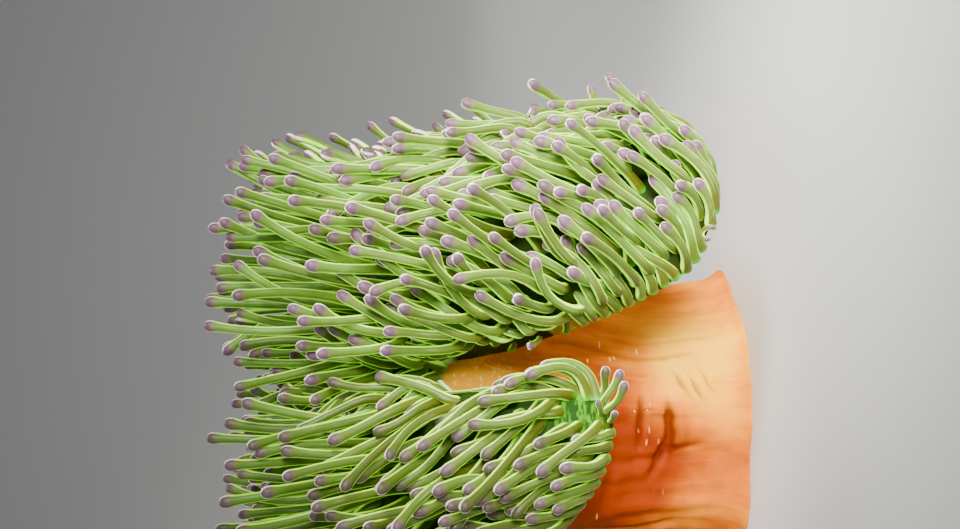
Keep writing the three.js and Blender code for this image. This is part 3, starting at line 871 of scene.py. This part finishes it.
def sizesOf(place, crest, fling, rng):  # lengths and thicknesses, many short ones on the front folds
    count = len(place)
    x, y, _ = place.T
    front = smoothstep(*frontDepth, -y) * (1 - crest)
    shortest = tentacle["shortest"] - front * (tentacle["frontShorter"] + tentacle["rimShorter"] * fling)
    length = tentacle["length"] * lerp(shortest, tentacle["longest"], rng.random(count))
    length = length * (1 - tentacle["rowShorter"] * fling)
    length = length * (1 - tentacle["topShorter"] * front * smoothstep(*topRow, x))
    length = length + tentacle["crest"] * crest
    dip = np.exp(-(((x - notch["x"]) / notch["width"]) ** 2))
    length = length * (1 - notch["share"] * dip * crest)
    return length, tentacle["thickness"] * (0.92 + 0.16 * rng.random(count))


def growTentacles(skinPiece, rng):
    turn, share, fling = plantRoots(rng)
    face = faceData(turn, share)
    place = face["place"]
    lean, crest = leanOf(face, turn, fling, rng)
    length, thickness = sizesOf(place, crest, fling, rng)
    rise = lerp(tentacle["rise"], tentacle["edgeRise"], np.clip(fling * 1.3, 0, 1))
    # beside the slit they keep to their own side
    x, y, z = place.T
    slitSide = besideSlit(turn, place) & (x > 8) & (z > 116)
    onRim = np.where(slitSide, 0, fling)[:, None]
    slitMargin = (x > 36) & (x < 84) & (z > 112) & (y < -80)
    overhang = (tentacle["overhang"] + tentacle["slitOverhang"] * slitMargin)[:, None]
    face["place"] = place + face["onward"] * overhang * (onRim > 0.9)
    first = unit(face["normal"] * (1 - 0.3 * onRim) + (face["onward"] * 0.45 + lean * 0.6) * onRim)
    first = np.where(slitSide[:, None], unit(first + [-0.5, -0.2, 0.45]), first)
    taper = np.zeros(len(turn))
    for i, (_, setOff, towards, *rest) in enumerate(strays):
        first[i] = unit(np.array(setOff, float))
        lean[i] = unit(np.array(towards, float))
        length[i], rise[i], thick, taper[i] = rest
        thickness[i] = tentacle["thickness"] * thick
    print("tentacles:", len(turn))
    spines = growSpines(face, first, lean, length, rise, rng)
    corners = [Vector(v.co) / mm for v in skinPiece.data.vertices]
    skinTree = BVHTree.FromPolygons(corners, [list(p.vertices) for p in skinPiece.data.polygons])
    spines = settle(spines, length, skinTree)
    print("tentacles settled")
    # their darker core is turned outwards, mostly to the front and the back, so that seen from there the
    # painted rim light lies at their edges
    across, deep = unit(face["place"][:, :2]).T
    outward = unit(np.stack([across ** 21, np.sign(deep) * np.abs(deep) ** 0.4, 0 * deep], -1))
    tone = rng.random(len(turn)) * 0.45 + 0.55 * crest
    # single ones darken at random, and the whole front left fold darkens as painted shade
    onLast = inFold(foldShare(turn)[0], "front_left")
    darkToneAndShade = flesh["spread"] * rng.random(len(turn)) ** 2 + flesh["leftFoldShade"] * onLast
    grown = dict(spines=spines, outward=outward, thickness=thickness, taper=taper, tone=tone, darkToneAndShade=darkToneAndShade)
    return turn, share, face["place"], grown


def makeAllTentacles(skinPiece, finish):
    turn, share, place, grown = growTentacles(skinPiece, np.random.default_rng(7))
    template = makeTemplate()
    inMiddle = np.hypot(place[:, 0], place[:, 1]) < planting["middle"]
    number = np.where(inMiddle, len(folds), foldShare(turn)[0])
    for i, name in enumerate(foldNames + ["middle"]):
        these = number == i
        spots, columns = patchSpots(np.mod(turn[these], 1), share[these])
        group = {key: values[these] for key, values in grown.items()}
        makeTentacles("tentacles_" + name, template, group, spots, columns, finish)


class Value:  # a socket that can be used in sums
    def __init__(self, finish, socket):
        self.finish, self.socket = finish, socket

    def math(self, operation, *others):
        return self.finish.node("ShaderNodeMath", {"operation": operation}, dict(enumerate(others)))

    def __add__(self, other):
        return self.math("ADD", self, other)

    def __sub__(self, other):
        return self.math("SUBTRACT", self, other)

    def __mul__(self, other):
        return self.math("MULTIPLY", self, other)

    def __rsub__(self, other):
        return self.math("SUBTRACT", other, self)

    def smooth(self, low, high):
        return self.finish.node(
            "ShaderNodeMapRange", {"interpolation_type": "SMOOTHSTEP"},
            {"Value": self, "From Min": low, "From Max": high},
        )


class Finish:  # one material and its nodes
    def __init__(self, name):
        self.material = bpy.data.materials.new(name)
        self.material.use_nodes = True
        self.tree = self.material.node_tree
        self.tree.nodes.clear()

    def node(self, kind, settings={}, inputs={}, output=0):
        node = self.tree.nodes.new(kind)
        for key, value in settings.items():
            setattr(node, key, value)
        for key, value in inputs.items():
            socket = node.inputs[key]
            if isinstance(value, Value):
                self.tree.links.new(value.socket, socket)
            elif isinstance(value, tuple) and socket.type == "RGBA":
                socket.default_value = (*value, 1)
            else:
                socket.default_value = value
        return Value(self, node.outputs[output])

    def mix(self, share, a, b):
        return self.node("ShaderNodeMix", {"data_type": "RGBA"}, {0: share, 6: a, 7: b}, 2)

    def ramp(self, share, stops):
        ramp = self.node("ShaderNodeValToRGB", inputs={"Fac": share})
        elements = ramp.socket.node.color_ramp.elements
        while len(elements) < len(stops):
            elements.new(1)
        for element, (position, color) in zip(elements, stops):
            element.position = position
            element.color = (*color, 1)
        return ramp

    def split(self, vector):
        node = self.node("ShaderNodeSeparateXYZ", inputs={0: vector}).socket.node
        return [Value(self, output) for output in node.outputs]

    def uv(self, name):
        return self.node("ShaderNodeUVMap", {"uv_map": name})

    def place(self):
        return self.node("ShaderNodeTexCoord", output="Object")

    def attribute(self, name):
        return self.node("ShaderNodeAttribute", {"attribute_name": name}, output="Fac")

    def noise(self, vector, scale, detail=2.0, rough=0.5):
        return self.node("ShaderNodeTexNoise", {}, {
            "Vector": vector, "Scale": scale, "Detail": detail, "Roughness": rough})

    def distance(self, vector, point):
        return self.node("ShaderNodeVectorMath", {"operation": "DISTANCE"}, {
            0: vector, 1: tuple(c * mm for c in point)}, output="Value")

    def stretched(self, vector, scale):
        return self.node("ShaderNodeMapping", inputs={"Vector": vector, "Scale": scale})

    def done(self, shader, inputs):
        surface = self.node(shader, inputs=inputs)
        output = self.tree.nodes.new("ShaderNodeOutputMaterial")
        self.tree.links.new(surface.socket, output.inputs["Surface"])
        return self.material


def floorFinish():
    finish = Finish("studio_floor")
    return finish.done("ShaderNodeBsdfPrincipled", {
        "Base Color": studio["floorColor"], "Roughness": 0.9, "Specular IOR Level": 0.2})


# The skin's colours. Those for the creases, the disc's rim, its face and the pocket's folds are painted shade
# and shadow.
orange = dict(
    deep=(0.2, 0.022, 0.0003), body=(0.52, 0.12, 0.0003), bright=(0.74, 0.25, 0.001),
    glow=(0.84, 0.42, 0.005), crease=(0.09, 0.007, 0.0005), dash=(0.95, 0.55, 0.16),
    underneath=(0.3, 0.15, 0.008), underSpeck=(0.6, 0.4, 0.07), rimLightAndShadow=(0.012, 0.01, 0.001),
    paleRim=(0.6, 0.85, 0.4), face=(0.01, 0.022, 0.0015), faceDeepShadow=(0.008, 0.008, 0.001),
    pocket=(0.045, 0.17, 0.0003), pocketFoldShade=(0.006, 0.03, 0.0003), lip=(0.4, 0.34, 0.08),
)
# where the slit ends at its top, and where a painted pool of light and a painted shade lie on the column
slitEnd, litSide, shadedSide = (33, -104, 178), (52, -70, 36), (-16, -88, 76)


def skinFinish():
    finish = Finish("anemone_skin")
    uv = finish.uv("BodyMap")
    _, zone, _ = finish.split(uv)
    place = finish.place()
    streaks = finish.noise(finish.stretched(uv, (330, 9, 1)), 1.0, 3, 0.6)
    wideStreaks = finish.noise(finish.stretched(uv, (64, 5, 1)), 1.0, 3, 0.55)
    patches = finish.noise(place, 26, 3, 0.6)
    cloud = finish.noise(place, 10, 2, 0.5)
    # a painted pool of light and a painted shade on the column; the tone mixes them with the skin's own
    # blotches and streaks
    lit = 1 - finish.distance(place, litSide).smooth(0.012, 0.062)
    shaded = 1 - finish.distance(place, shadedSide).smooth(0.02, 0.07)
    tone = patches * 0.42 + streaks * 0.12 + wideStreaks * 0.18 + cloud * 0.46 + lit * 0.22 - shaded * 0.3
    color = finish.ramp(tone.smooth(0.34, 0.92), [
        (0, orange["deep"]), (0.42, orange["body"]), (0.78, orange["bright"]), (1, orange["glow"])])
    # painted shade: the creases and furrows are darkened to a deep red-brown
    crease = finish.attribute("crease")
    color = finish.mix(crease.smooth(0.1, 0.9) * 0.85, color, orange["crease"])
    # pale warts in short dashes, on the upper half of the column
    cells = finish.node("ShaderNodeTexVoronoi", {"feature": "F1"}, {
        "Vector": finish.stretched(uv, (44, 110, 1)), "Scale": 1.0, "Randomness": 0.8}, output="Distance")
    dashes = (1 - cells.smooth(0.13, 0.21)) * zone.smooth(0.17, 0.24) * (1 - zone.smooth(0.36, 0.42))
    dashes = dashes * finish.noise(place, 30, 1, 0.5).smooth(0.5, 0.6)
    color = finish.mix(dashes * 0.8, color, orange["dash"])
    specks = finish.noise(place, 420, 1, 0.5).smooth(0.6, 0.72)
    brown = finish.mix(specks * 0.6, orange["underneath"], orange["underSpeck"])
    color = finish.mix(zone.smooth(0.36, 0.46) * 0.9, color, brown)
    nearSlit = 1 - finish.distance(place, slitEnd).smooth(0.011, 0.016)
    # painted shadow: the disc's rim is coloured near black, as the shade under the outermost tentacles
    color = finish.mix(zone.smooth(0.598, 0.606), color, orange["rimLightAndShadow"])
    color = finish.mix(zone.smooth(0.578, 0.598) * nearSlit, color, orange["paleRim"])
    # painted shadow: the face between the tentacles is near black, as the shade among them; the pocket's bare
    # skin is green, with its fold troughs darkened as painted shade
    face = finish.mix(finish.noise(place, 60, 2, 0.5).smooth(0.52, 0.66), orange["face"], orange["faceDeepShadow"])
    bare = 1 - finish.distance(place, pocket["at"]).smooth(0.013, 0.024)
    ridges = finish.noise(finish.stretched(place, (110, 420, 420)), 1.0, 2, 0.55).smooth(0.4, 0.6)
    face = finish.mix(bare, face, finish.mix(ridges, orange["pocketFoldShade"], orange["pocket"]))
    color = finish.mix(zone.smooth(0.614, 0.626), color, face)
    color = finish.mix(zone.smooth(0.94, 0.955), color, orange["lip"])
    fine = finish.node("ShaderNodeBump", {}, {
        "Height": streaks * 0.5 + patches * 0.5, "Strength": 0.3, "Distance": 0.0012})
    return finish.done("ShaderNodeBsdfPrincipled", {
        "Base Color": color, "Roughness": (1 - patches) * 0.2 + 0.42, "Normal": fine,
        "Subsurface Weight": 0.12, "Subsurface Radius": (0.012, 0.003, 0.001), "Subsurface Scale": 0.4,
        "Specular IOR Level": 0.03,
    })


# The tentacles' colours. The side ones are painted rim light, the streak is a painted highlight, glow is a
# painted glow at the edges, and deep is the dark that single ones take on at random and the front left fold
# takes on as painted shade.
flesh = dict(
    root=(0.03, 0.34, 0.003), base=(0.085, 0.066, 0.003), shaft=(0.064, 0.076, 0.003),
    upper=(0.08, 0.125, 0.015), shaftRimLight=(0.58, 1.0, 0.07), neck=(0.12, 0.12, 0.05),
    tip=(0.1, 0.05, 0.078), tipRimLight=(0.85, 0.66, 0.66), streakHighlight=(0.42, 0.55, 0.22),
    green=(0.07, 0.27, 0.012), deep=(0.03, 0.04, 0.001), sheen=(0.8, 1.0, 0.35), glow=(0.36, 0.9, 0.04),
    spread=0.5, leftFoldShade=0.34,  # how much single ones darken at random, and how much painted shade darkens all of the front left fold's
)


def tentacleFinish():
    finish = Finish("tentacle_flesh")
    uv = finish.uv("TentacleMap")
    around, along, _ = finish.split(uv)
    place = finish.place()
    tone = finish.attribute("tone")
    # 0 on the outer side of the tentacle, 0.5 at its flanks and 1 behind
    flank = (1 - around.math("COSINE", around * (2 * math.pi))) * 0.5
    # painted rim light: the flanks are bright yellow-green, and pale at the tips, as the translucent skin
    # looks at its edges
    sides = flank.smooth(0.12, 0.28) * (1 - flank.smooth(0.72, 0.88))
    tipSides = flank.smooth(0.2, 0.38) * (1 - flank.smooth(0.62, 0.8))
    nearTip = along.smooth(0.88, 0.93)
    sides = sides * (1 - nearTip) + tipSides * nearTip
    core = finish.ramp(along, [
        (0, flesh["root"]), (0.02, flesh["root"]), (0.08, flesh["base"]), (0.3, flesh["shaft"]),
        (0.6, flesh["upper"]), (0.885, flesh["upper"]), (0.922, flesh["neck"]), (0.945, flesh["tip"])])
    rimLightAndShadow = finish.ramp(along, [
        (0, flesh["root"]), (0.12, flesh["shaftRimLight"]), (0.9, flesh["shaftRimLight"]), (0.94, flesh["tipRimLight"])])
    color = finish.mix(sides, core, rimLightAndShadow)
    # painted highlight: faint pale streaks run lengthwise down the middle, in places, as the lamp's broken
    # reflection
    lengthwise = finish.node("ShaderNodeVectorMath", {"operation": "ADD"}, {
        0: finish.stretched(uv, (26, 3.2, 1)), 1: finish.stretched(place, (40, 40, 40))})
    streaks = finish.noise(lengthwise, 1.0, 2, 0.5).smooth(0.54, 0.72)
    middle = (1 - flank.smooth(0.02, 0.16)) * along.smooth(0.2, 0.35) * (1 - along.smooth(0.78, 0.88))
    color = finish.mix(streaks * middle * 0.5, color, flesh["streakHighlight"])
    greener = tone * 0.45 * (1 - along.smooth(0.88, 0.92))
    color = finish.mix(greener, color, flesh["green"])
    # single tentacles darken at random, and the front left fold as painted shade
    darkToneAndShade = finish.attribute("darkToneAndShade")
    color = finish.mix(darkToneAndShade * (1 - sides * 0.6), color, flesh["deep"])
    # painted glow: the green edges give off a little light of their own, brightening them as light through
    # the translucent skin does
    lit = flank.smooth(0.2, 0.4) * (1 - flank.smooth(0.6, 0.8)) * along.smooth(0.05, 0.2)
    glow = finish.mix(lit * (1 - nearTip), (0.0, 0.0, 0.0), flesh["glow"])
    return finish.done("ShaderNodeBsdfPrincipled", {
        "Base Color": color, "Roughness": 0.46, "Specular IOR Level": 0.22,
        "Subsurface Weight": 0.1, "Subsurface Radius": (0.002, 0.004, 0.001), "Subsurface Scale": 0.2,
        "Sheen Weight": 0.2, "Sheen Roughness": 0.2, "Sheen Tint": flesh["sheen"],
        "Emission Color": glow, "Emission Strength": 0.5,
    })


bpy.ops.object.select_all(action="DESELECT")
makeCamera()
makeFloor(floorFinish())
makeLights()
print("studio ready")
bpy.ops.object.select_all(action="DESELECT")
skinPiece = makeSkin(skinFinish())
makeAllTentacles(skinPiece, tentacleFinish())
